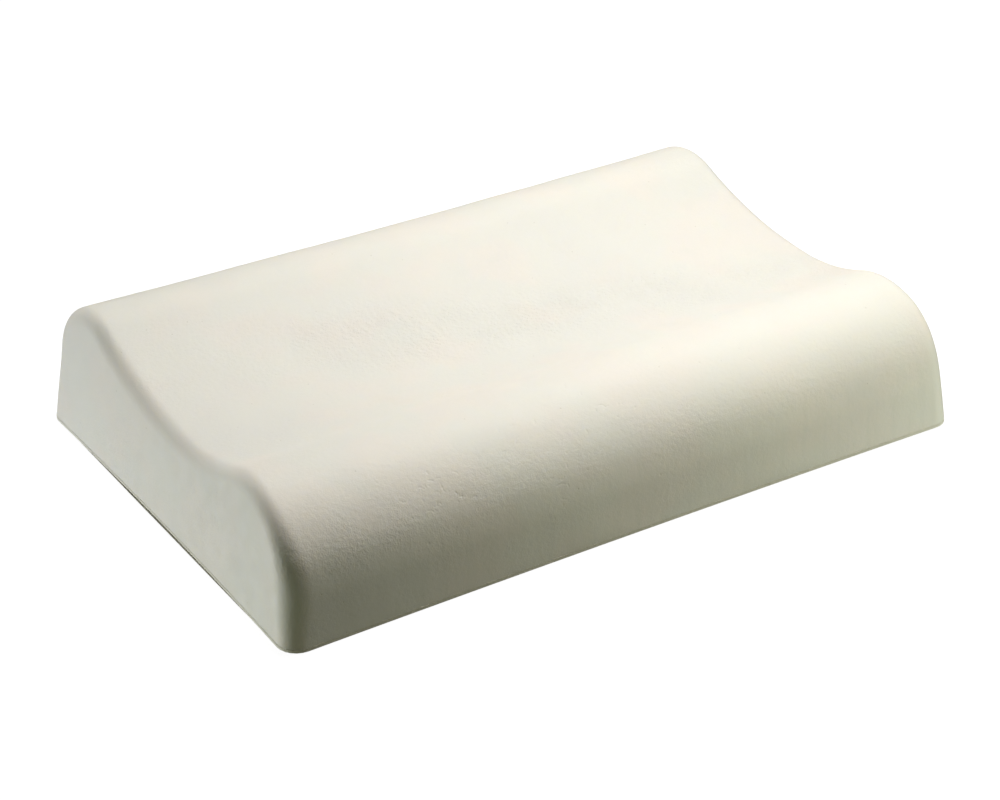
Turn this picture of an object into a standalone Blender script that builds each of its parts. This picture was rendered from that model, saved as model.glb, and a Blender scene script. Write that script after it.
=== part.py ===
"""A moulded foam contour pillow: two unequal neck lobes with a cradle between them.

Units are metres and +Z is up. X runs along the pillow, -Y is the low front lobe and +Y
the high rear lobe. The origin is the centre of the underside, which lies at z = 0.

The pillow is foamed in one shot, in a mould with a flat lid. It comes apart as the
open-cell foam core, the skin that formed against the cavity, the flat skin that formed
against the lid, and the trimmed bead of flash at the joint between the two skins.
"""

from collections import namedtuple
from math import atan2, cos, pi, radians, sin, tan

import bmesh
import bpy

# Overall size at the foot of the walls.
LENGTH = 0.600
WIDTH = 0.400

# Cross-section, front to back. The cradle's arcs follow from its lowest point.
FRONT_HEIGHT = 0.1025
FRONT_RADIUS = 0.072
REAR_HEIGHT = 0.1135
REAR_RADIUS = 0.061
CRADLE_HEIGHT = 0.082
CRADLE_Y = -0.023

# Mould draft of the walls, and the radii that the ends roll over with: down the upright
# corners, where the radius narrows over CORNER_RISE to its value at the foot, and along
# the top.
SIDE_DRAFT = radians(5)
END_DRAFT = radians(5)
CORNER_RADIUS = 0.024
FOOT_RADIUS = 0.017
CORNER_RISE = 0.080
EDGE_RADIUS = 0.012

# How far the middle of each face draws in as the foam cools.
END_SHRINK = 0.0028
SIDE_SHRINK = 0.0023
TOP_SHRINK = 0.0015

# Skins, bead, and the clearance between pieces that lie against each other.
CAVITY_SKIN = 0.0015
BASE_SKIN = 0.0016
BASE_EDGE = 0.0006
BEAD_THICKNESS = 0.0010
BEAD_PROUD = 0.0009
FIT = 0.0003

# Steps in each stretch of the surface, and the angle above which an edge is sharp.
CREST_STEPS = 12
CRADLE_STEPS = 8
ROLL_STEPS = 6
FACE_STEPS = 3
LENGTH_STEPS = 10
SHARP_ANGLE = radians(40)

# Heights at which the core and the bead start, and the contoured skin's open rim.
BEAD_FOOT = BASE_SKIN + FIT
SKIN_FOOT = BEAD_FOOT + BEAD_THICKNESS + FIT

FOAM_COLOUR = (0.80, 0.74, 0.60)
SKIN_COLOUR = (0.85, 0.82, 0.73)
BASE_COLOUR = (0.79, 0.76, 0.67)
BEAD_COLOUR = (0.62, 0.58, 0.47)

# A point of the cross-section, and the direction out of the foam there. A surface that
# lies further in has its station that far back along this direction.
Station = namedtuple("Station", "y z out_y out_z")


def clear_scene():
    for item in list(bpy.data.objects):
        bpy.data.objects.remove(item, do_unlink=True)


def material(name, colour, roughness):
    result = bpy.data.materials.new(name)
    result.use_nodes = True
    shader = result.node_tree.nodes["Principled BSDF"]
    shader.inputs["Base Color"].default_value = (*colour, 1.0)
    shader.inputs["Roughness"].default_value = roughness
    shader.inputs["Metallic"].default_value = 0.0
    return result


def wall_foot(side, height):
    """Station where a drafted wall is cut off at a height. Side is -1 at the front, 1 at the rear."""
    y = side * (WIDTH / 2 - height * tan(SIDE_DRAFT))
    return Station(y, height, side / cos(SIDE_DRAFT), 0.0)


def crest_centre(side, height, radius):
    """Centre of the lobe arc that touches its drafted wall and has its top at the height."""
    z = height - radius
    return side * (WIDTH / 2 - z * tan(SIDE_DRAFT) - radius / cos(SIDE_DRAFT)), z


def cradle_centre(crest, radius):
    """Centre of the hollow arc from the cradle's lowest point to where it touches a lobe's arc."""
    rise = CRADLE_HEIGHT - crest[1]
    across = crest[0] - CRADLE_Y
    hollow = (across**2 + rise**2 - radius**2) / (2 * (radius - rise))
    return CRADLE_Y, CRADLE_HEIGHT + hollow


def arc(centre, radius, start, end, steps, out=1):
    """Stations along an arc. Out is -1 where the foam lies outside the arc, as in the cradle."""
    angles = [start + (end - start) * step / steps for step in range(steps + 1)]
    return [
        Station(
            centre[0] + radius * cos(angle),
            centre[1] + radius * sin(angle),
            out * cos(angle),
            out * sin(angle),
        )
        for angle in angles
    ]


def cross_section(foot):
    """Stations from the foot of the front wall, over both lobes, to the foot of the rear wall."""
    front = crest_centre(-1, FRONT_HEIGHT, FRONT_RADIUS)
    rear = crest_centre(1, REAR_HEIGHT, REAR_RADIUS)
    front_hollow = cradle_centre(front, FRONT_RADIUS)
    rear_hollow = cradle_centre(rear, REAR_RADIUS)
    front_touch = atan2(front_hollow[1] - front[1], front_hollow[0] - front[0])
    rear_touch = atan2(rear_hollow[1] - rear[1], rear_hollow[0] - rear[0])
    lowest = 1.5 * pi
    front_hollow_radius = front_hollow[1] - CRADLE_HEIGHT
    rear_hollow_radius = rear_hollow[1] - CRADLE_HEIGHT
    return [
        wall_foot(-1, foot),
        *arc(front, FRONT_RADIUS, pi - SIDE_DRAFT, front_touch, CREST_STEPS),
        *arc(front_hollow, front_hollow_radius, front_touch + pi, lowest, CRADLE_STEPS, -1)[1:],
        *arc(rear_hollow, rear_hollow_radius, lowest, rear_touch + pi, CRADLE_STEPS, -1)[1:],
        *arc(rear, REAR_RADIUS, rear_touch, SIDE_DRAFT, CREST_STEPS)[1:],
        wall_foot(1, foot),
    ]


def roll_radius(station):
    """Radius between an end and the rest at a station of the walls, the shoulders or the top."""
    up = max(0.0, station.out_z)
    high = min(1.0, station.z / CORNER_RISE)
    corner = FOOT_RADIUS + (CORNER_RADIUS - FOOT_RADIUS) * high**2 * (3 - 2 * high)
    return corner + (EDGE_RADIUS - corner) * up**2 * (3 - 2 * up)


def shrink(x, y, z):
    """The point after the foam has cooled: each face drawn in, most at its middle."""
    along = min(1.0, abs(2 * x / LENGTH))
    across = min(1.0, abs(2 * y / WIDTH))
    x -= 2 * x / LENGTH * END_SHRINK * (1 - across**2)
    y -= 2 * y / WIDTH * SIDE_SHRINK * (1 - along**2)
    z -= z / REAR_HEIGHT * TOP_SHRINK * (1 - along**2)
    return x, y, z


def end_x(z, set_back):
    """Distance of the drafted end from the middle of the pillow, less a set-back square to it."""
    return LENGTH / 2 - z * tan(END_DRAFT) - set_back / cos(END_DRAFT)


def end_ring(stations, inset, turn):
    """(x, y, z) of each station on the rolled end, turn radians round from the end face."""
    ring = []
    for station in stations:
        radius = roll_radius(station)
        depth = radius - (radius - inset) * sin(turn)
        y = station.y - station.out_y * depth
        z = station.z - station.out_z * depth
        set_back = radius - (radius - inset) * cos(turn)
        ring.append((end_x(z, set_back), y, z))
    return ring


def closed_in(ring, share):
    """The ring round an end face, drawn in to a share of its size about the middle of its foot."""
    middle = [(front + rear) / 2 for front, rear in zip(ring[0], ring[-1])]
    return [tuple(m + share * (c - m) for m, c in zip(middle, point)) for point in ring]


def envelope(inset, foot):
    """Rings over the surface that lies inset below the outside and is cut off at height foot.

    Each runs from its front foot to its rear foot. The first and the last have closed to one
    point, in the middle of the foot of an end face.
    """
    stations = cross_section(foot)
    turns = [pi / 2 * step / ROLL_STEPS for step in range(ROLL_STEPS + 1)]
    rolled = [end_ring(stations, inset, turn) for turn in turns]
    face = [closed_in(rolled[0], step / FACE_STEPS) for step in range(FACE_STEPS)]
    shares = [1 - 2 * step / LENGTH_STEPS for step in range(1, LENGTH_STEPS)]
    middle = [[(share * x, y, z) for x, y, z in rolled[-1]] for share in shares]
    mirrored = [[(-x, y, z) for x, y, z in ring] for ring in reversed([*face, *rolled])]
    rings = [*face, *rolled, *middle, *mirrored]
    return [[shrink(*point) for point in ring] for ring in rings]


def around(rings):
    """The closed loop round the foot: along the front feet and back along the rear ones."""
    front = [ring[0] for ring in rings]
    rear = [ring[-1] for ring in reversed(rings)]
    return list(dict.fromkeys([*front, *rear]))


def add_vertices(mesh, points):
    """A vertex for each point, one and the same where points coincide."""
    vertices = {point: mesh.verts.new(point) for point in dict.fromkeys(points)}
    return [vertices[point] for point in points]


def add_strip(mesh, line, other):
    """Faces between two open lines with as many points. Either may be closed to one point."""
    for near, far, other_far, other_near in zip(line, line[1:], other[1:], other):
        mesh.faces.new(dict.fromkeys([near, far, other_far, other_near]))


def add_surface(mesh, inset, foot):
    """Adds the surface over the top, walls and ends, and returns the loop at its open foot."""
    rings = [add_vertices(mesh, ring) for ring in envelope(inset, foot)]
    for ring, following in zip(rings, rings[1:]):
        add_strip(mesh, ring, following)
    return around(rings)


def add_loop(mesh, inset, height):
    """Adds the outline of the pillow at a height, inset below its outside, with no faces."""
    return add_vertices(mesh, around(envelope(inset, height)))


def add_band(mesh, loop, other):
    """Faces between two closed loops with as many points."""
    add_strip(mesh, [*loop, loop[0]], [*other, other[0]])


def add_piece(name, mesh, piece_material, parent):
    """Makes an object of a closed mesh, its faces turned out and its rounded stretches smooth.

    Every four-sided face is split the same way, so that surfaces that lie side by side stay
    parallel where such a face is twisted.
    """
    bmesh.ops.triangulate(mesh, faces=mesh.faces, quad_method="FIXED")
    bmesh.ops.recalc_face_normals(mesh, faces=mesh.faces)
    data = bpy.data.meshes.new(name)
    mesh.to_mesh(data)
    mesh.free()
    data.materials.append(piece_material)
    data.shade_smooth()
    data.set_sharp_from_angle(angle=SHARP_ANGLE)
    piece = bpy.data.objects.new(name, data)
    bpy.context.collection.objects.link(piece)
    piece.parent = parent
    return piece


def foam_core(parent):
    """The open-cell body, which fills the two skins."""
    mesh = bmesh.new()
    mesh.faces.new(add_surface(mesh, CAVITY_SKIN + FIT, BEAD_FOOT))
    add_piece("foam_core", mesh, material("cut_foam", FOAM_COLOUR, 0.95), parent)


def contoured_skin(parent):
    """The skin over the lobes, walls and ends, open underneath."""
    mesh = bmesh.new()
    outside = add_surface(mesh, 0.0, SKIN_FOOT)
    inside = add_surface(mesh, CAVITY_SKIN, SKIN_FOOT)
    add_band(mesh, outside, inside)
    add_piece("contoured_skin", mesh, material("cavity_skin", SKIN_COLOUR, 0.75), parent)


def base_skin(parent):
    """The flat skin underneath, its lower edge broken by a small chamfer."""
    mesh = bmesh.new()
    bottom = add_loop(mesh, BASE_EDGE, 0.0)
    chamfer = add_loop(mesh, 0.0, BASE_EDGE)
    top = add_loop(mesh, 0.0, BASE_SKIN)
    mesh.faces.new(bottom)
    add_band(mesh, bottom, chamfer)
    add_band(mesh, chamfer, top)
    mesh.faces.new(top)
    add_piece("base_skin", mesh, material("lid_skin", BASE_COLOUR, 0.8), parent)


def parting_bead(parent):
    """The trimmed flash, a flat ring rooted between the two skins that stands a little proud."""
    mesh = bmesh.new()
    top = BEAD_FOOT + BEAD_THICKNESS
    loops = [
        add_loop(mesh, CAVITY_SKIN, BEAD_FOOT),
        add_loop(mesh, -BEAD_PROUD, BEAD_FOOT),
        add_loop(mesh, -BEAD_PROUD, top),
        add_loop(mesh, CAVITY_SKIN, top),
    ]
    for loop, following in zip(loops, [*loops[1:], loops[0]]):
        add_band(mesh, loop, following)
    add_piece("parting_bead", mesh, material("trimmed_flash", BEAD_COLOUR, 0.9), parent)


def main():
    clear_scene()
    pillow = bpy.data.objects.new("contour_pillow", None)
    bpy.context.collection.objects.link(pillow)
    foam_core(pillow)
    contoured_skin(pillow)
    base_skin(pillow)
    parting_bead(pillow)


main()
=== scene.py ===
"""Looks of the moulded foam contour pillow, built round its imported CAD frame.

Metres, +Z up, in the CAD's own frame: X runs along the pillow, -Y is the low front lobe and
+Y the high rear lobe, and the underside lies at z = 0.
"""

import random
from math import ceil, cos, hypot, pi, radians, sin, tan

import bmesh
import bpy
import numpy as np
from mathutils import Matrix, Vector, kdtree, noise


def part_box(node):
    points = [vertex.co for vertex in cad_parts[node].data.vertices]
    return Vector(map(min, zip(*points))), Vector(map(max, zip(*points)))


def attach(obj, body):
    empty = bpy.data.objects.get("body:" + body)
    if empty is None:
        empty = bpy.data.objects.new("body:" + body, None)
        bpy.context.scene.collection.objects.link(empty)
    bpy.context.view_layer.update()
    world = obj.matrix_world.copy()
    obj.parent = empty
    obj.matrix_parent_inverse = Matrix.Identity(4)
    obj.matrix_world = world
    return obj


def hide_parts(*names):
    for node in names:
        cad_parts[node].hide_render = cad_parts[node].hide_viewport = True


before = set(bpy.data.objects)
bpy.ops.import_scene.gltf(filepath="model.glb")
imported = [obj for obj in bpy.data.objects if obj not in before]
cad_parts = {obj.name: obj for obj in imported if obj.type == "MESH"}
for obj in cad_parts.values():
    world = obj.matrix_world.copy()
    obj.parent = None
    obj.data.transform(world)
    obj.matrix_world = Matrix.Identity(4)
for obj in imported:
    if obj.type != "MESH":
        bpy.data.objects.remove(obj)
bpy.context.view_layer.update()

# The pillow's own shape: the same values as its CAD model.
LENGTH = 0.600
WIDTH = 0.400
FRONT_HEIGHT = 0.1025
FRONT_RADIUS = 0.072
REAR_HEIGHT = 0.1135
REAR_RADIUS = 0.061
CRADLE_HEIGHT = 0.082
CRADLE_Y = -0.023
SIDE_DRAFT = radians(5)
END_DRAFT = radians(5)
CORNER_RADIUS = 0.024
FOOT_RADIUS = 0.017
CORNER_RISE = 0.080
EDGE_RADIUS = 0.012
END_SHRINK = 0.0028
SIDE_SHRINK = 0.0023
TOP_SHRINK = 0.0015
SKIN = 0.0015
BEAD_PROUD = 0.0009
FIT = 0.0003
BASE_EDGE = 0.0006

# Where the pieces meet, read off the frame. Outside they meet at hairline seams.
SEAM = 0.00005
BASE_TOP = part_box("base_skin")[1].z
BEAD_FOOT = BASE_TOP + SEAM
BEAD_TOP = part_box("parting_bead")[1].z
SKIN_FOOT = BEAD_TOP + SEAM

# Mesh spacing of the skin's outside, of its hidden inside, of the underside and along the bead.
FINE = 0.0030
COARSE = 0.014
BASE_STEP = 2.2 * FINE
BEAD_STEP = 0.6 * FINE


# ---------------------------------------------------------------- the moulded shape

def wall(side, foot, step):
    """Stations (y, z, out y, out z) up a drafted wall. Side is -1 at the front, 1 at the rear."""
    height, radius = (FRONT_HEIGHT, FRONT_RADIUS) if side < 0 else (REAR_HEIGHT, REAR_RADIUS)
    y, z = crest_centre(side, height, radius)
    out = np.array([side * cos(SIDE_DRAFT), sin(SIDE_DRAFT)])
    top = np.array([y, z]) + radius * out
    bottom = np.array([side * (WIDTH / 2 - foot * tan(SIDE_DRAFT)), foot])
    share = np.linspace(0, 1, ceil((top[1] - foot) / step) + 1)[:, None]
    bottom_out = np.array([side / cos(SIDE_DRAFT), 0.0])
    return np.hstack([bottom + share * (top - bottom), bottom_out + share * (out - bottom_out)])


def crest_centre(side, height, radius):
    """Centre of a lobe's arc, which meets the drafted wall without a kink."""
    z = height - radius
    return side * (WIDTH / 2 - z * tan(SIDE_DRAFT) - radius / cos(SIDE_DRAFT)), z


def cradle_centre(crest, radius):
    """Centre of the hollow arc from the cradle's lowest point to where it touches a lobe's arc."""
    rise = CRADLE_HEIGHT - crest[1]
    across = crest[0] - CRADLE_Y
    hollow = (across**2 + rise**2 - radius**2) / (2 * (radius - rise))
    return CRADLE_Y, CRADLE_HEIGHT + hollow


def arc(centre, radius, start, end, step, out=1):
    """Stations along an arc. Out is -1 where the foam lies outside the arc."""
    angle = np.linspace(start, end, ceil(abs(end - start) * radius / step) + 1)
    across, up = np.cos(angle), np.sin(angle)
    points = [centre[0] + radius * across, centre[1] + radius * up, out * across, out * up]
    return np.stack(points, axis=1)


def cross_section(foot, step):
    """Stations from the foot of the front wall, over both lobes, to the foot of the rear wall."""
    front = crest_centre(-1, FRONT_HEIGHT, FRONT_RADIUS)
    rear = crest_centre(1, REAR_HEIGHT, REAR_RADIUS)
    front_hollow = cradle_centre(front, FRONT_RADIUS)
    rear_hollow = cradle_centre(rear, REAR_RADIUS)
    front_touch = np.arctan2(front_hollow[1] - front[1], front_hollow[0] - front[0])
    rear_touch = np.arctan2(rear_hollow[1] - rear[1], rear_hollow[0] - rear[0])
    lowest = 1.5 * pi
    front_hollow_radius = front_hollow[1] - CRADLE_HEIGHT
    rear_hollow_radius = rear_hollow[1] - CRADLE_HEIGHT
    return np.vstack([
        wall(-1, foot, step),
        arc(front, FRONT_RADIUS, pi - SIDE_DRAFT, front_touch, step)[1:],
        arc(front_hollow, front_hollow_radius, front_touch + pi, lowest, step, -1)[1:],
        arc(rear_hollow, rear_hollow_radius, lowest, rear_touch + pi, step, -1)[1:],
        arc(rear, REAR_RADIUS, rear_touch, SIDE_DRAFT, step)[1:],
        wall(1, foot, step)[-2::-1],
    ])


def shrink(points):
    """The points after the foam has cooled: each face drawn in, most at its middle."""
    x, y, z = np.moveaxis(np.array(points, float), -1, 0)
    along = np.minimum(1, np.abs(2 * x / LENGTH))
    across = np.minimum(1, np.abs(2 * y / WIDTH))
    cooled_x = x - 2 * x / LENGTH * END_SHRINK * (1 - across**2)
    cooled_y = y - 2 * y / WIDTH * SIDE_SHRINK * (1 - along**2)
    cooled_z = z - z / REAR_HEIGHT * TOP_SHRINK * (1 - along**2)
    return np.stack([cooled_x, cooled_y, cooled_z], axis=-1)


def end_ring(stations, inset, turn):
    """Each station on the rolled +X end, turn radians round from the end face."""
    y, z, out_y, out_z = stations.T
    up, high = np.maximum(0, out_z), np.clip(z / CORNER_RISE, 0, 1)
    corner = FOOT_RADIUS + (CORNER_RADIUS - FOOT_RADIUS) * high**2 * (3 - 2 * high)
    radius = corner + (EDGE_RADIUS - corner) * up**2 * (3 - 2 * up)
    depth = radius - (radius - inset) * sin(turn)
    set_back = radius - (radius - inset) * cos(turn)
    ring_z = z - out_z * depth
    x = LENGTH / 2 - ring_z * tan(END_DRAFT) - set_back / cos(END_DRAFT)
    return np.stack([x, y - out_y * depth, ring_z], axis=1)


def end_rows(ring, step):
    """Rows across the end face, from its foot up to the ring round it."""
    lengths = np.linalg.norm(np.diff(ring, axis=0), axis=1)
    share = np.append(0, np.cumsum(lengths)) / lengths.sum()
    foot = ring[0] + share[:, None] * (ring[-1] - ring[0])
    steps = ceil((ring[:, 2].max() - ring[0, 2]) / step)
    return [foot + (ring - foot) * row / steps for row in range(steps)]


def envelope(inset, foot, step):
    """(number of rows on each end face, rings along the surface that lies inset below the outside)."""
    stations = cross_section(foot, step)
    turns = np.linspace(0, pi / 2, ceil(pi / 2 * CORNER_RADIUS / step) + 1)
    rolled = [end_ring(stations, inset, turn) for turn in turns]
    face = end_rows(rolled[0], step)
    steps = ceil(2 * rolled[-1][:, 0].max() / step)
    middle = [rolled[-1] * [1 - 2 * n / steps, 1, 1] for n in range(1, steps)]
    half = [*face, *rolled]
    rings = [*half, *middle, *(ring * [-1, 1, 1] for ring in reversed(half))]
    return len(face), shrink(rings)


def grid_indices(face_rows, rings):
    """A vertex number for each point of the rings, the rows of an end face sharing their two ends."""
    count, width = rings.shape[:2]
    index = np.arange(count * width).reshape(count, width)
    for rows, whole in ((slice(0, face_rows), face_rows), (slice(-face_rows, None), -face_rows - 1)):
        index[rows, 0] = index[whole, 0]
        index[rows, -1] = index[whole, -1]
    return index


def foot_loop(index):
    """Vertex numbers once round the foot of a surface."""
    loop = [*index[:, 0], *index[-1], *index[::-1, -1], *index[0, ::-1]]
    return list(dict.fromkeys(int(i) for i in loop))


def around(loop):
    """The loop's members, each moved on by one."""
    return [*loop[1:], loop[0]]


def add_band(mesh, near, far):
    """Adds the faces between two closed loops of vertices."""
    for corners in zip(near, around(near), around(far), far):
        mesh.faces.new(corners)


def add_surface(mesh, inset, foot, step):
    """Adds the surface over the top, walls and ends, and returns the vertices round its open foot."""
    face_rows, rings = envelope(inset, foot, step)
    index = grid_indices(face_rows, rings)
    points = rings.reshape(-1, 3)
    vertices = {int(i): mesh.verts.new(points[i]) for i in np.unique(index)}
    for near, far in zip(index[:-1].tolist(), index[1:].tolist()):
        for corners in zip(near, near[1:], far[1:], far):
            mesh.faces.new(dict.fromkeys(vertices[i] for i in corners))
    return [vertices[i] for i in foot_loop(index)]


def foot_outline(inset, height, step):
    """Points round the pillow at a height, inset below its outside."""
    face_rows, rings = envelope(inset, height, step)
    return rings.reshape(-1, 3)[foot_loop(grid_indices(face_rows, rings))]


# ---------------------------------------------------------------- moulding marks

# Places on the skin, in plan, where small bubbles and creases gathered as it set:
# (x, y, spread, bubbles, creases). The first ones lie along the front lobe's shoulder.
CLUSTERS = (
    (-0.165, -0.176, 0.010, 14, 12),
    (-0.149, -0.182, 0.008, 6, 5),
    (-0.181, -0.180, 0.014, 8, 6),
    (-0.090, -0.160, 0.012, 5, 3),
    (-0.067, -0.188, 0.009, 7, 4),
    (-0.014, -0.160, 0.012, 5, 5),
    (-0.027, -0.180, 0.030, 10, 6),
    (0.055, -0.150, 0.035, 8, 3),
    (-0.249, -0.025, 0.003, 3, 1),
    (-0.171, 0.087, 0.003, 2, 1),
    (-0.124, 0.110, 0.004, 2, 1),
    (0.101, 0.008, 0.030, 10, 4),
    (0.195, -0.045, 0.012, 5, 4),
    (0.080, 0.186, 0.050, 12, 6),
    (-0.210, 0.184, 0.025, 8, 4),
    (0.295, 0.030, 0.050, 8, 4),
)
LOOSE_BUBBLES = 50
BUBBLE_RADIUS = (0.0004, 0.0010)
BUBBLE_DEPTH = 0.36
CREASE_LENGTH = (0.0018, 0.0045)

# Larger curled folds: (x, y, heading in degrees, length).
FOLDS = (
    (-0.0927, -0.1656, 20, 0.009),
    (-0.0890, -0.1640, 50, 0.006),
    (-0.0137, -0.1578, 340, 0.008),
    (-0.0100, -0.1600, 20, 0.005),
    (-0.1640, -0.1765, 70, 0.006),
    (-0.0674, -0.1890, 350, 0.007),
    (0.2002, -0.0453, 30, 0.009),
    (0.1500, 0.1850, 200, 0.008),
    (-0.0600, 0.1870, 160, 0.007),
)
FOLD_WIDTH = 0.0006
FOLD_DEPTH = 0.00024
FOLD_BEND = 1.9
MARK_REACH = 3.0

# A bubble's or crease's raised rim, as a share of its depth.
RIM = 0.12

# Slow unevenness of the cooled foam: (size of a wave, its height, where its noise is read).
SWELL = (
    (0.110, 0.00060, Vector((0, 0, 0))),
    (0.045, 0.00028, Vector((5, 0, 0))),
    (0.019, 0.00008, Vector((0, 9, 0))),
)

# Heights of the skin's orange-peel and of the walls' flow streaks.
PEBBLE = 0.000022
STREAK = 0.00006

# How far the underside sank, its ripple, and the depth of its open bubbles.
BASE_SINK = 0.0002
BASE_RIPPLE = 0.00005
BASE_POCK = 0.0012

# How far round a mark, in its radii, the skin's faces are cut, and how often.
REFINE_REACH = 1.6
REFINE_CUTS = 4


def on_skin(mesh, x, y):
    """The point of the upper surface, and its outward direction, above a place in plan."""
    best = min(
        (vertex for vertex in mesh.verts if vertex.co.z > 0.045),
        key=lambda vertex: hypot(vertex.co.x - x, vertex.co.y - y),
    )
    return best.co.copy(), best.normal.copy()


def tree_of(points):
    """A search tree of the points, each known by its place in the list."""
    tree = kdtree.KDTree(len(points))
    for number, point in enumerate(points):
        tree.insert(point, number)
    tree.balance()
    return tree


def bubble(draw, centre):
    """(points, radius, depth) of a small open bubble."""
    radius = draw.uniform(*BUBBLE_RADIUS)
    shift = Vector([draw.uniform(-FINE, FINE) / 2 for _ in range(3)])
    return [centre + shift], radius, BUBBLE_DEPTH * radius


def crease(draw, centre, out, heading, length):
    """(points, width, depth) of a curled crease in the skin."""
    along = Vector((cos(heading), sin(heading), 0))
    along = (along - along.dot(out) * out).normalized()
    across = out.cross(along)
    bend = FOLD_BEND * draw.uniform(0.3, 1)
    radius = length / bend
    turns = np.linspace(-bend / 2, bend / 2, ceil(length / (0.6 * FOLD_WIDTH)))
    points = [centre + radius * (sin(t) * along + (cos(t) - 1) * across) for t in turns]
    return points, FOLD_WIDTH, FOLD_DEPTH * draw.uniform(0.6, 1.2)


def moulding_marks(mesh):
    """(points, radius, depth) for every bubble, crease and fold in the skin."""
    draw = random.Random(7)
    mesh.verts.ensure_lookup_table()
    marks = [bubble(draw, draw.choice(mesh.verts).co) for _ in range(LOOSE_BUBBLES)]
    tree = tree_of([vertex.co for vertex in mesh.verts])
    for x, y, spread, bubbles, creases in CLUSTERS:
        centre, _ = on_skin(mesh, x, y)
        for number in range(bubbles + creases):
            offset = Vector([draw.gauss(0, spread) for _ in range(3)])
            point, index, _ = tree.find(centre + offset)
            if number < bubbles:
                marks.append(bubble(draw, point))
                continue
            heading, length = draw.uniform(0, 2 * pi), draw.uniform(*CREASE_LENGTH)
            marks.append(crease(draw, point, mesh.verts[index].normal, heading, length))
    for x, y, heading, length in FOLDS:
        centre, out = on_skin(mesh, x, y)
        marks.append(crease(draw, centre, out, radians(heading), length))
    return marks


def refine(mesh, marks):
    """Cuts the faces under the marks fine enough to hold them."""
    tree = tree_of([face.calc_center_median() for face in mesh.faces])
    mesh.faces.ensure_lookup_table()
    under = set()
    for points, radius, _ in marks:
        reach = REFINE_REACH * radius + FINE / 2
        for point in points:
            under.update(number for _, number, _ in tree.find_range(point, reach))
    edges = {edge for number in under for edge in mesh.faces[number].edges}
    bmesh.ops.subdivide_edges(mesh, edges=list(edges), cuts=REFINE_CUTS, use_grid_fill=True)


def mark_depth(near, marks, owners):
    """How far the marks near a vertex press it in, given as (distance, number of the mark's point)."""
    closest = {}
    for distance, number in near:
        mark = owners[number]
        closest[mark] = min(distance, closest.get(mark, distance))
    depth = 0.0
    for mark, distance in closest.items():
        _, radius, deepest = marks[mark]
        ratio = distance / radius
        hollow = np.exp(-1.6 * ratio**2)
        rim = RIM * np.exp(-6 * (ratio - 1.35) ** 2)
        depth += deepest * (hollow - rim)
    return depth


def swell(point):
    """Slow unevenness of the cooled foam, outwards, in metres."""
    return sum(height * noise.noise(point / size + shift) for size, height, shift in SWELL)


def pebble(point):
    """Orange-peel of the skin, strongest along the shoulders of the lobes."""
    shoulder = np.exp(-(((abs(point.y + 0.01) - 0.155) / 0.03) ** 2))
    patch = max(0.0, 0.5 + noise.noise(point / 0.08 + Vector((0, 0, 4))))
    strength = 0.35 + 0.5 * patch + 0.5 * shoulder
    bumps = noise.noise(point / 0.0062) + 0.7 * noise.noise(point / 0.0041 + Vector((3, 3, 3)))
    return PEBBLE * strength * bumps


def streaks(point):
    """Upright flow streaks down the walls, where the rising foam ran along the mould."""
    low = min(1.0, max(0.0, (0.085 - point.z) / 0.05))
    run = Vector((point.x / 0.010, point.y / 0.010, point.z / 0.12))
    return STREAK * low * noise.noise(run + Vector((8, 1, 0)))


def add_relief(mesh, marks):
    """Moves the skin's outside along its normals, leaving its foot in place."""
    mesh.normal_update()
    tree = tree_of([point for points, _, _ in marks for point in points])
    owners = [number for number, mark in enumerate(marks) for _ in mark[0]]
    reach = MARK_REACH * BUBBLE_RADIUS[1]
    moves = []
    for vertex in mesh.verts:
        point = vertex.co
        height = swell(point) + pebble(point) + streaks(point)
        near = [(distance, number) for _, number, distance in tree.find_range(point, reach)]
        if near:
            height -= mark_depth(near, marks, owners)
        fade = min(1.0, (point.z - SKIN_FOOT) / 0.006)
        moves.append(vertex.normal * height * fade)
    for vertex, move in zip(mesh.verts, moves):
        vertex.co += move


# ---------------------------------------------------------------- pieces

def finish_piece(name, mesh, material, cad_node, sharp=50):
    """Makes a closed, smooth-shaded foam piece of the mesh that stands for a CAD node."""
    bmesh.ops.recalc_face_normals(mesh, faces=mesh.faces)
    data = bpy.data.meshes.new(name)
    mesh.to_mesh(data)
    mesh.free()
    data.materials.append(material)
    data.shade_smooth()
    data.set_sharp_from_angle(angle=radians(sharp))
    piece = bpy.data.objects.new(name, data)
    bpy.context.scene.collection.objects.link(piece)
    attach(piece, "root")
    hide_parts(cad_node)


def edges_of(loop):
    """The edges along a closed loop of vertices."""
    ends = {frozenset(edge.verts): edge for vertex in loop for edge in vertex.link_edges}
    return [ends[frozenset(pair)] for pair in zip(loop, around(loop))]


def moulded_skin():
    """The outer skin: a thin shell with its relief outside, open underneath like its CAD node."""
    mesh = bmesh.new()
    outside = add_surface(mesh, 0.0, SKIN_FOOT, FINE)
    bmesh.ops.recalc_face_normals(mesh, faces=mesh.faces)
    if sum(face.normal.z for face in mesh.faces) < 0:
        bmesh.ops.reverse_faces(mesh, faces=mesh.faces)
    mesh.verts.index_update()
    mesh.normal_update()
    marks = moulding_marks(mesh)
    refine(mesh, marks)
    add_relief(mesh, marks)
    open_edges = [edge for edge in mesh.edges if edge.is_boundary]
    inside = add_surface(mesh, SKIN, SKIN_FOOT, COARSE)
    bmesh.ops.triangle_fill(mesh, edges=[*open_edges, *edges_of(inside)], use_beauty=False)
    finish_piece("moulded_skin", mesh, skin_material(), "contoured_skin")


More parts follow.
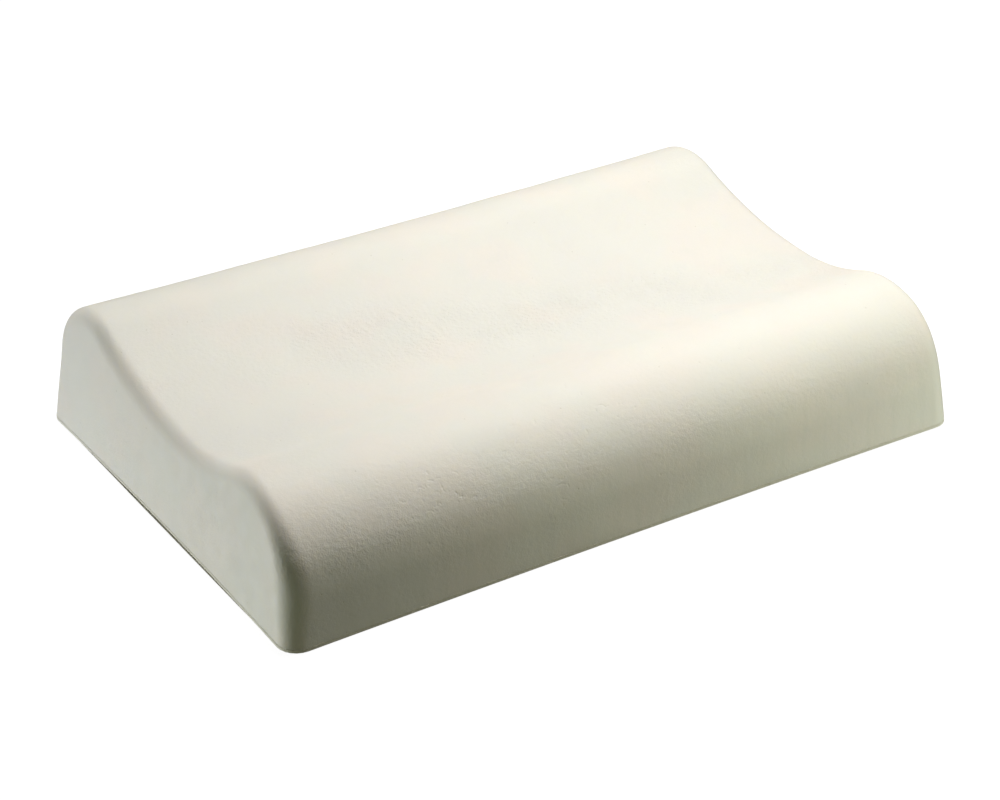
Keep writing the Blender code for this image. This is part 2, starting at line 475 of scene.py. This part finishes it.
def lid_skin():
    """The flat underside, with the small open bubbles that rise to a mould's lid."""
    mesh = bmesh.new()
    rounding = 0.3 * BASE_EDGE
    steps = ((BASE_EDGE, 0.0), (rounding, rounding), (0.0, BASE_EDGE), (0.0, BASE_TOP))
    loops = []
    for inset, height in steps:
        outline = foot_outline(inset, height, BASE_STEP)
        loops.append([mesh.verts.new(point) for point in outline])
    for loop, following in zip(loops, loops[1:]):
        add_band(mesh, loop, following)
    mesh.faces.new(loops[-1])
    add_underside(mesh, loops[0])
    finish_piece("lid_skin", mesh, base_material(), "base_skin", sharp=35)


def add_underside(mesh, loop):
    """Fills the loop with rows of faces from end to end, and presses bubbles into them."""
    face_rows, rings = envelope(BASE_EDGE, 0.0, BASE_STEP)
    end = rings[0]
    share = (end[:, 1] - end[0, 1]) / (end[-1, 1] - end[0, 1])
    tree = tree_of([vertex.co for vertex in loop])

    def on_loop(point):
        return loop[tree.find(point)[1]]

    rows = [[on_loop(point) for point in end]]
    for ring in rings[face_rows + 1:-face_rows - 1]:
        line = ring[0] + share[:, None] * (ring[-1] - ring[0])
        inner = [mesh.verts.new(press_underside(Vector(point))) for point in line[1:-1]]
        rows.append([on_loop(line[0]), *inner, on_loop(line[-1])])
    rows.append([on_loop(point) for point in rings[-1]])
    for near, far in zip(rows, rows[1:]):
        for corners in zip(near, near[1:], far[1:], far):
            mesh.faces.new(corners)


def press_underside(point):
    """The point after the lid side sank a little as it cooled. Nothing drops below z = 0."""
    sink = BASE_SINK * (1 + noise.noise(point / 0.07)) + BASE_RIPPLE * noise.noise(point / 0.011)
    pock = max(0.0, noise.noise(point / 0.012 + Vector((2, 7, 0))) - 0.45)
    return point + Vector((0, 0, max(0.0, sink) + BASE_POCK * pock))


def trimmed_bead():
    """The flash left by the mould's parting line, cut back by hand, so uneven and nicked."""
    outline = foot_outline(0.0, (BEAD_FOOT + BEAD_TOP) / 2, BEAD_STEP)
    ahead = np.roll(outline, -1, axis=0) - np.roll(outline, 1, axis=0)
    out = np.stack([ahead[:, 1], -ahead[:, 0]], axis=1)
    out /= np.linalg.norm(out, axis=1)[:, None]
    if (out * outline[:, :2]).sum() < 0:
        out = -out
    mesh = bmesh.new()
    rings = []
    for point, (out_x, out_y) in zip(outline, out):
        rings.append([
            mesh.verts.new((point[0] + reach * out_x, point[1] + reach * out_y, height))
            for reach, height in bead_section(Vector(point))
        ])
    for ring, following in zip(rings, around(rings)):
        add_band(mesh, ring, following)
    finish_piece("trimmed_bead", mesh, bead_material(), "parting_bead")


def bead_section(point):
    """(reach beyond the wall, height) round the bead's section at a point of its path."""
    cut = noise.noise(point / 0.013)
    nick = max(0.0, noise.noise(point / 0.004 + Vector((1, 2, 3))) - 0.35)
    proud = BEAD_PROUD * min(0.6, max(0.02, 0.08 + 0.40 * cut - 0.8 * nick))
    droop = 0.00012 * noise.noise(point / 0.021 + Vector((6, 6, 6)))
    middle = (BEAD_FOOT + BEAD_TOP) / 2 + droop
    half = (BEAD_TOP - BEAD_FOOT) / 2
    tip = 0.45 * half
    root = -SKIN + FIT
    return (
        (root, BEAD_FOOT), (0.0, BEAD_FOOT), (0.7 * proud, middle - 0.8 * half),
        (proud, middle - tip), (proud, middle + tip), (0.6 * proud, middle + 0.9 * half),
        (0.0, BEAD_TOP), (root, BEAD_TOP),
    )


# ---------------------------------------------------------------- materials

# Base colours: the skin's main tone and its drifts, painted shade inside an open pinhole, the cut
# bead, and the foam's cells, darkened inside with painted shade, its cell walls and slow drift.
IVORY = (0.835, 0.815, 0.735, 1)
IVORY_WARM = (0.860, 0.810, 0.728, 1)
IVORY_SHADE = (0.780, 0.762, 0.680, 1)
PINHOLE_SHADE = (0.50, 0.46, 0.36, 1)
BEAD_PALE = (0.81, 0.785, 0.70, 1)
BEAD_DARK = (0.70, 0.67, 0.58, 1)
PORE_SHADE = (0.52, 0.44, 0.30, 1)
CELL_WALL = (0.83, 0.76, 0.60, 1)
FOAM_DRIFT = (0.80, 0.71, 0.53, 1)

# Depths of the skin's grain, in metres.
FINE_GRAIN = 0.00030
COARSE_GRAIN = 0.00028

# Strength of the foam's soft sheen.
SHEEN = 0.35


def new_material(name, roughness):
    """(material, its node tree, its shader), with the soft sheen that all the foam has."""
    material = bpy.data.materials.new(name)
    material.use_nodes = True
    shader = material.node_tree.nodes["Principled BSDF"]
    shader.inputs["Roughness"].default_value = roughness
    shader.inputs["Specular IOR Level"].default_value = SHEEN
    return material, material.node_tree, shader


def node(tree, kind, inputs=None, **settings):
    """Adds a shader node, links or sets its inputs, and returns it."""
    made = tree.nodes.new(kind)
    for name, value in settings.items():
        setattr(made, name, value)
    for name, value in (inputs or {}).items():
        if isinstance(value, bpy.types.NodeSocket):
            tree.links.new(value, made.inputs[name])
        else:
            made.inputs[name].default_value = value
    return made


def combine(tree, first, second, how="ADD"):
    """A sum or other arithmetic of two values."""
    return node(tree, "ShaderNodeMath", {0: first, 1: second}, operation=how).outputs[0]


def position(tree):
    """Positions on the object, in metres."""
    return node(tree, "ShaderNodeTexCoord").outputs["Object"]


def cloud(tree, size, detail=2.0, where=None):
    """Noise whose lumps are about size metres across, from 0 to 1."""
    inputs = {"Vector": where or position(tree), "Scale": 1 / size, "Detail": detail}
    return node(tree, "ShaderNodeTexNoise", inputs).outputs["Fac"]


def ramp(tree, value, low, high, bottom=0.0, top=1.0):
    """Maps a value from low to high onto bottom to top, smoothly and with its ends held."""
    inputs = {"Value": value, "From Min": low, "From Max": high, "To Min": bottom, "To Max": top}
    made = node(tree, "ShaderNodeMapRange", inputs, interpolation_type="SMOOTHSTEP")
    return made.outputs["Result"]


def blend(tree, share, first, second):
    """Mixes two colours. Share is the part that the second one has."""
    made = node(tree, "ShaderNodeMix", data_type="RGBA")
    for number, value in ((0, share), (6, first), (7, second)):
        if isinstance(value, bpy.types.NodeSocket):
            tree.links.new(value, made.inputs[number])
        else:
            made.inputs[number].default_value = value
    return made.outputs[2]


def bump(tree, height, depth, under=None):
    """A surface direction roughened by height, which is depth metres where it is 1."""
    inputs = {"Height": height, "Distance": depth, "Strength": 1.0}
    if under is not None:
        inputs["Normal"] = under
    return node(tree, "ShaderNodeBump", inputs).outputs["Normal"]


def cells(tree, size, feature="F1"):
    """Distance from the middle of each cell, and a random value for each, at size metres a cell."""
    inputs = {"Vector": position(tree), "Scale": 1 / size}
    made = node(tree, "ShaderNodeTexVoronoi", inputs, feature=feature)
    return made.outputs["Distance"], made.outputs["Color"]


def pinholes(tree, size, share):
    """1 inside a small round pinhole, on that share of the cells."""
    distance, colour = cells(tree, size)
    chosen = node(tree, "ShaderNodeSeparateColor", {"Color": colour}).outputs["Red"]
    picked = ramp(tree, chosen, 1 - share, 1 - 0.8 * share)
    hole = ramp(tree, distance, 0.05, 0.15, 1.0, 0.0)
    return combine(tree, picked, hole, "MULTIPLY")


def grain_strength(tree):
    """How coarse the skin is: most along the middle of the cradle, then on the front shoulder."""
    axes = node(tree, "ShaderNodeSeparateXYZ", {0: position(tree)}).outputs
    slant = combine(tree, axes["Y"], combine(tree, axes["X"], 0.22, "MULTIPLY"))
    away = combine(tree, combine(tree, slant, 0.008, "SUBTRACT"), 0.0, "ABSOLUTE")
    band = ramp(tree, away, 0.012, 0.060, 2.5, 0.0)
    cradle = combine(tree, band, ramp(tree, axes["X"], -0.24, -0.06, 0.15, 1.0), "MULTIPLY")
    shoulder = ramp(tree, axes["Y"], -0.188, -0.150, 0.50, 0.0)
    upper = ramp(tree, axes["Z"], 0.036, 0.074, 0.12, 1.0)
    patches = ramp(tree, cloud(tree, 0.035, 3), 0.30, 0.70, 0.50, 1.0)
    strength = combine(tree, combine(tree, cradle, combine(tree, shoulder, upper, "MULTIPLY")), 0.40)
    return combine(tree, strength, patches, "MULTIPLY")


def streak_tone(tree):
    """Faint upright streaks, strongest low on the front wall and none on the top."""
    where = node(tree, "ShaderNodeMapping", {0: position(tree), "Scale": (1, 1, 0.06)}).outputs[0]
    lines = ramp(tree, cloud(tree, 0.007, 2, where), 0.40, 0.70)
    axes = node(tree, "ShaderNodeSeparateXYZ", {0: position(tree)}).outputs
    low = ramp(tree, axes["Z"], 0.045, 0.080, 1.0, 0.0)
    front = ramp(tree, axes["Y"], -0.190, -0.170, 1.0, 0.3)
    return combine(tree, combine(tree, lines, low, "MULTIPLY"), front, "MULTIPLY")


def skin_material():
    """Ivory foam skin: faint clouding and streaks, fine grain, a few painted-shade pinholes, a soft
    satin sheen.
    """
    material, tree, shader = new_material("ivory_foam_skin", 0.58)
    tone = blend(tree, ramp(tree, cloud(tree, 0.060), 0.40, 0.62), IVORY, IVORY_WARM)
    tone = blend(tree, ramp(tree, cloud(tree, 0.030, 4), 0.55, 0.80, 0.0, 0.25), tone, IVORY_SHADE)
    tone = blend(tree, ramp(tree, cloud(tree, 0.0014, 3), 0.35, 0.75, 0.0, 0.16), tone, IVORY_SHADE)
    tone = blend(tree, combine(tree, streak_tone(tree), 0.35, "MULTIPLY"), tone, IVORY_SHADE)
    holes = pinholes(tree, 0.0055, 0.035)
    # Painted shade darkens the inside of each pinhole.
    tone = blend(tree, combine(tree, holes, 0.35, "MULTIPLY"), tone, PINHOLE_SHADE)
    tree.links.new(tone, shader.inputs["Base Color"])
    tree.links.new(ramp(tree, cloud(tree, 0.012, 3), 0.3, 0.7, 0.54, 0.66), shader.inputs["Roughness"])
    strength = grain_strength(tree)
    fine = combine(tree, cloud(tree, 0.0012, 2), strength, "MULTIPLY")
    coarse = combine(tree, cells(tree, 0.0032, "SMOOTH_F1")[0], strength, "MULTIPLY")
    normal = bump(tree, fine, FINE_GRAIN)
    normal = bump(tree, coarse, COARSE_GRAIN, normal)
    normal = bump(tree, combine(tree, 1.0, holes, "SUBTRACT"), 0.0001, normal)
    tree.links.new(normal, shader.inputs["Normal"])
    shader.inputs["Subsurface Weight"].default_value = 0.25
    shader.inputs["Subsurface Radius"].default_value = (1.0, 0.85, 0.55)
    shader.inputs["Subsurface Scale"].default_value = 0.006
    return material


def base_material():
    """The lid side: the same skin, duller, with more open bubbles, their insides darkened with painted
    shade.
    """
    material, tree, shader = new_material("lid_side_foam_skin", 0.74)
    tone = blend(tree, ramp(tree, cloud(tree, 0.060), 0.35, 0.68), IVORY, IVORY_SHADE)
    tone = blend(tree, ramp(tree, cloud(tree, 0.0020, 3), 0.35, 0.75, 0.0, 0.3), tone, IVORY_SHADE)
    holes = pinholes(tree, 0.0045, 0.4)
    # Painted shade darkens the inside of each open bubble.
    tone = blend(tree, combine(tree, holes, 0.7, "MULTIPLY"), tone, PINHOLE_SHADE)
    tree.links.new(tone, shader.inputs["Base Color"])
    normal = bump(tree, cloud(tree, 0.0030, 3), 0.0006)
    normal = bump(tree, ramp(tree, holes, 0, 1, 1.0, 0.0), 0.0006, normal)
    tree.links.new(normal, shader.inputs["Normal"])
    return material


def bead_material():
    """Cut foam along the trimmed flash: a little darker, rough, torn."""
    material, tree, shader = new_material("trimmed_flash", 0.92)
    tone = blend(tree, cloud(tree, 0.004, 4), BEAD_PALE, BEAD_DARK)
    tree.links.new(tone, shader.inputs["Base Color"])
    tree.links.new(bump(tree, cloud(tree, 0.0009, 4), 0.0004), shader.inputs["Normal"])
    return material


def foam_material():
    """Open-cell foam as it looks where it is cut: cream, with round cells of mixed size, painted shade
    inside each.
    """
    material, tree, shader = new_material("open_cell_foam", 0.95)
    small, _ = cells(tree, 0.0011)
    large, _ = cells(tree, 0.0028)
    walls = combine(tree, small, large, "MULTIPLY")
    # Painted shade fills the middle of each cell, where its hollow lies.
    tone = blend(tree, ramp(tree, walls, 0.02, 0.35), PORE_SHADE, CELL_WALL)
    tone = blend(tree, ramp(tree, cloud(tree, 0.05), 0.35, 0.7, 0.0, 0.4), tone, FOAM_DRIFT)
    tree.links.new(tone, shader.inputs["Base Color"])
    tree.links.new(bump(tree, walls, 0.0008), shader.inputs["Normal"])
    return material


# ---------------------------------------------------------------- studio

# The photograph's view, found by fitting the pillow's outline: lens and sensor in millimetres.
VIEW_AZIMUTH = radians(-32.5)
VIEW_ELEVATION = radians(29.84)
VIEW_DISTANCE = 1.8614
VIEW_TARGET = Vector((-0.0751, -0.1180, 0.0961))
FOCAL_LENGTH = 91.67
SENSOR = 36.0

# Square soft lights: name, place, what they point at, side, watts of red, green and blue.
LIGHTS = (
    ("rear_top", (0.0, 0.414, 1.595), (0.0, 0.0, 0.05), 0.20, (12.7, 12.6, 12.2)),
    ("rear_right", (0.795, 0.459, 1.361), (0.0, 0.0, 0.05), 0.20, (7.44, 7.40, 7.29)),
    ("overhead", (0.1, -0.1, 0.9), (0.1, -0.1, 0.06), 0.25, (1.36, 1.30, 1.17)),
    ("front_shoulder", (0.3, -0.35, 0.6), (0.15, -0.18, 0.06), 0.25, (1.25, 1.22, 1.17)),
    ("front_low", (0.45, -0.9, 0.05), (0.25, -0.18, 0.06), 0.25, (1.80, 1.80, 1.27)),
    ("right_low", (0.5, -0.4, -0.1), (0.25, -0.18, 0.06), 0.25, (0.42, 0.46, 0.44)),
    ("left_card", (-1.338, 0.773, -0.364), (0.0, 0.0, 0.05), 0.80, (13.4, 13.7, 13.9)),
    ("left_near", (-0.8, -0.2, -0.1), (-0.25, -0.18, 0.06), 0.25, (0.46, 0.49, 0.32)),
)

AMBIENT = (0.006, 0.006, 0.005, 1)
BACKDROP = (1.0, 1.0, 1.0, 1)

# The floor lies just under the pillow, and glows enough to show as white.
FLOOR_SIZE = 40.0
FLOOR_DROP = 0.0002
FLOOR_GLOW = 0.96


def direction(azimuth, elevation):
    """Unit vector towards a place on the sky. Azimuth 0 is the front, -Y, and 90 the right, +X."""
    return Vector((sin(azimuth) * cos(elevation), -cos(azimuth) * cos(elevation), sin(elevation)))


def add_camera():
    """The camera at the photograph's viewing angle."""
    data = bpy.data.cameras.new("camera")
    data.sensor_width = SENSOR
    data.lens = FOCAL_LENGTH
    camera = bpy.data.objects.new("camera", data)
    back = direction(VIEW_AZIMUTH, VIEW_ELEVATION)
    camera.location = VIEW_TARGET + VIEW_DISTANCE * back
    camera.rotation_euler = back.to_track_quat("Z", "Y").to_euler()
    bpy.context.scene.collection.objects.link(camera)
    bpy.context.scene.camera = camera


def add_light(name, place, target, side, watts):
    """A square soft light that the camera doesn't see."""
    data = bpy.data.lights.new(name, "AREA")
    data.shape = "SQUARE"
    data.size = side
    data.energy = max(watts)
    data.color = [part / max(watts) for part in watts]
    light = bpy.data.objects.new(name, data)
    back = Vector(place) - Vector(target)
    light.location = place
    light.rotation_euler = back.to_track_quat("Z", "Y").to_euler()
    light.visible_camera = False
    bpy.context.scene.collection.objects.link(light)


def add_world():
    """White behind the object, and a dim warm room for everything but the camera."""
    world = bpy.data.worlds.new("studio")
    world.use_nodes = True
    tree = world.node_tree
    tree.nodes.clear()
    room = node(tree, "ShaderNodeBackground", {"Color": AMBIENT, "Strength": 1.0})
    white = node(tree, "ShaderNodeBackground", {"Color": BACKDROP, "Strength": 1.0})
    seen = node(tree, "ShaderNodeLightPath").outputs["Is Camera Ray"]
    mix = node(tree, "ShaderNodeMixShader", {0: seen, 1: room.outputs[0], 2: white.outputs[0]})
    output = node(tree, "ShaderNodeOutputWorld")
    tree.links.new(mix.outputs[0], output.inputs["Surface"])
    bpy.context.scene.world = world


def add_floor():
    """A white seamless floor. It takes the pillow's shadow and throws no light back on it."""
    material, tree, shader = new_material("white_floor", 0.9)
    tone = blend(tree, cloud(tree, 0.5), (0.19, 0.19, 0.19, 1), (0.21, 0.21, 0.21, 1))
    tree.links.new(tone, shader.inputs["Base Color"])
    shader.inputs["Specular IOR Level"].default_value = 0.0
    shader.inputs["Emission Color"].default_value = (1, 1, 1, 1)
    shader.inputs["Emission Strength"].default_value = FLOOR_GLOW
    bpy.ops.mesh.primitive_plane_add(size=FLOOR_SIZE, location=(0, 0, -FLOOR_DROP))
    floor = bpy.context.object
    floor.name = "floor"
    floor.data.materials.append(material)
    floor.visible_diffuse = False
    floor.visible_glossy = False
    floor.visible_shadow = False


def show_colours_plainly():
    """Shows the light as it falls, with no film look."""
    view = bpy.context.scene.view_settings
    view.view_transform = "Standard"
    view.look = "None"


# ---------------------------------------------------------------- the scene

add_camera()
moulded_skin()
lid_skin()
trimmed_bead()
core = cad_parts["foam_core"]
core.material_slots[0].material = foam_material()
for light in LIGHTS:
    add_light(*light)
add_world()
add_floor()
show_colours_plainly()
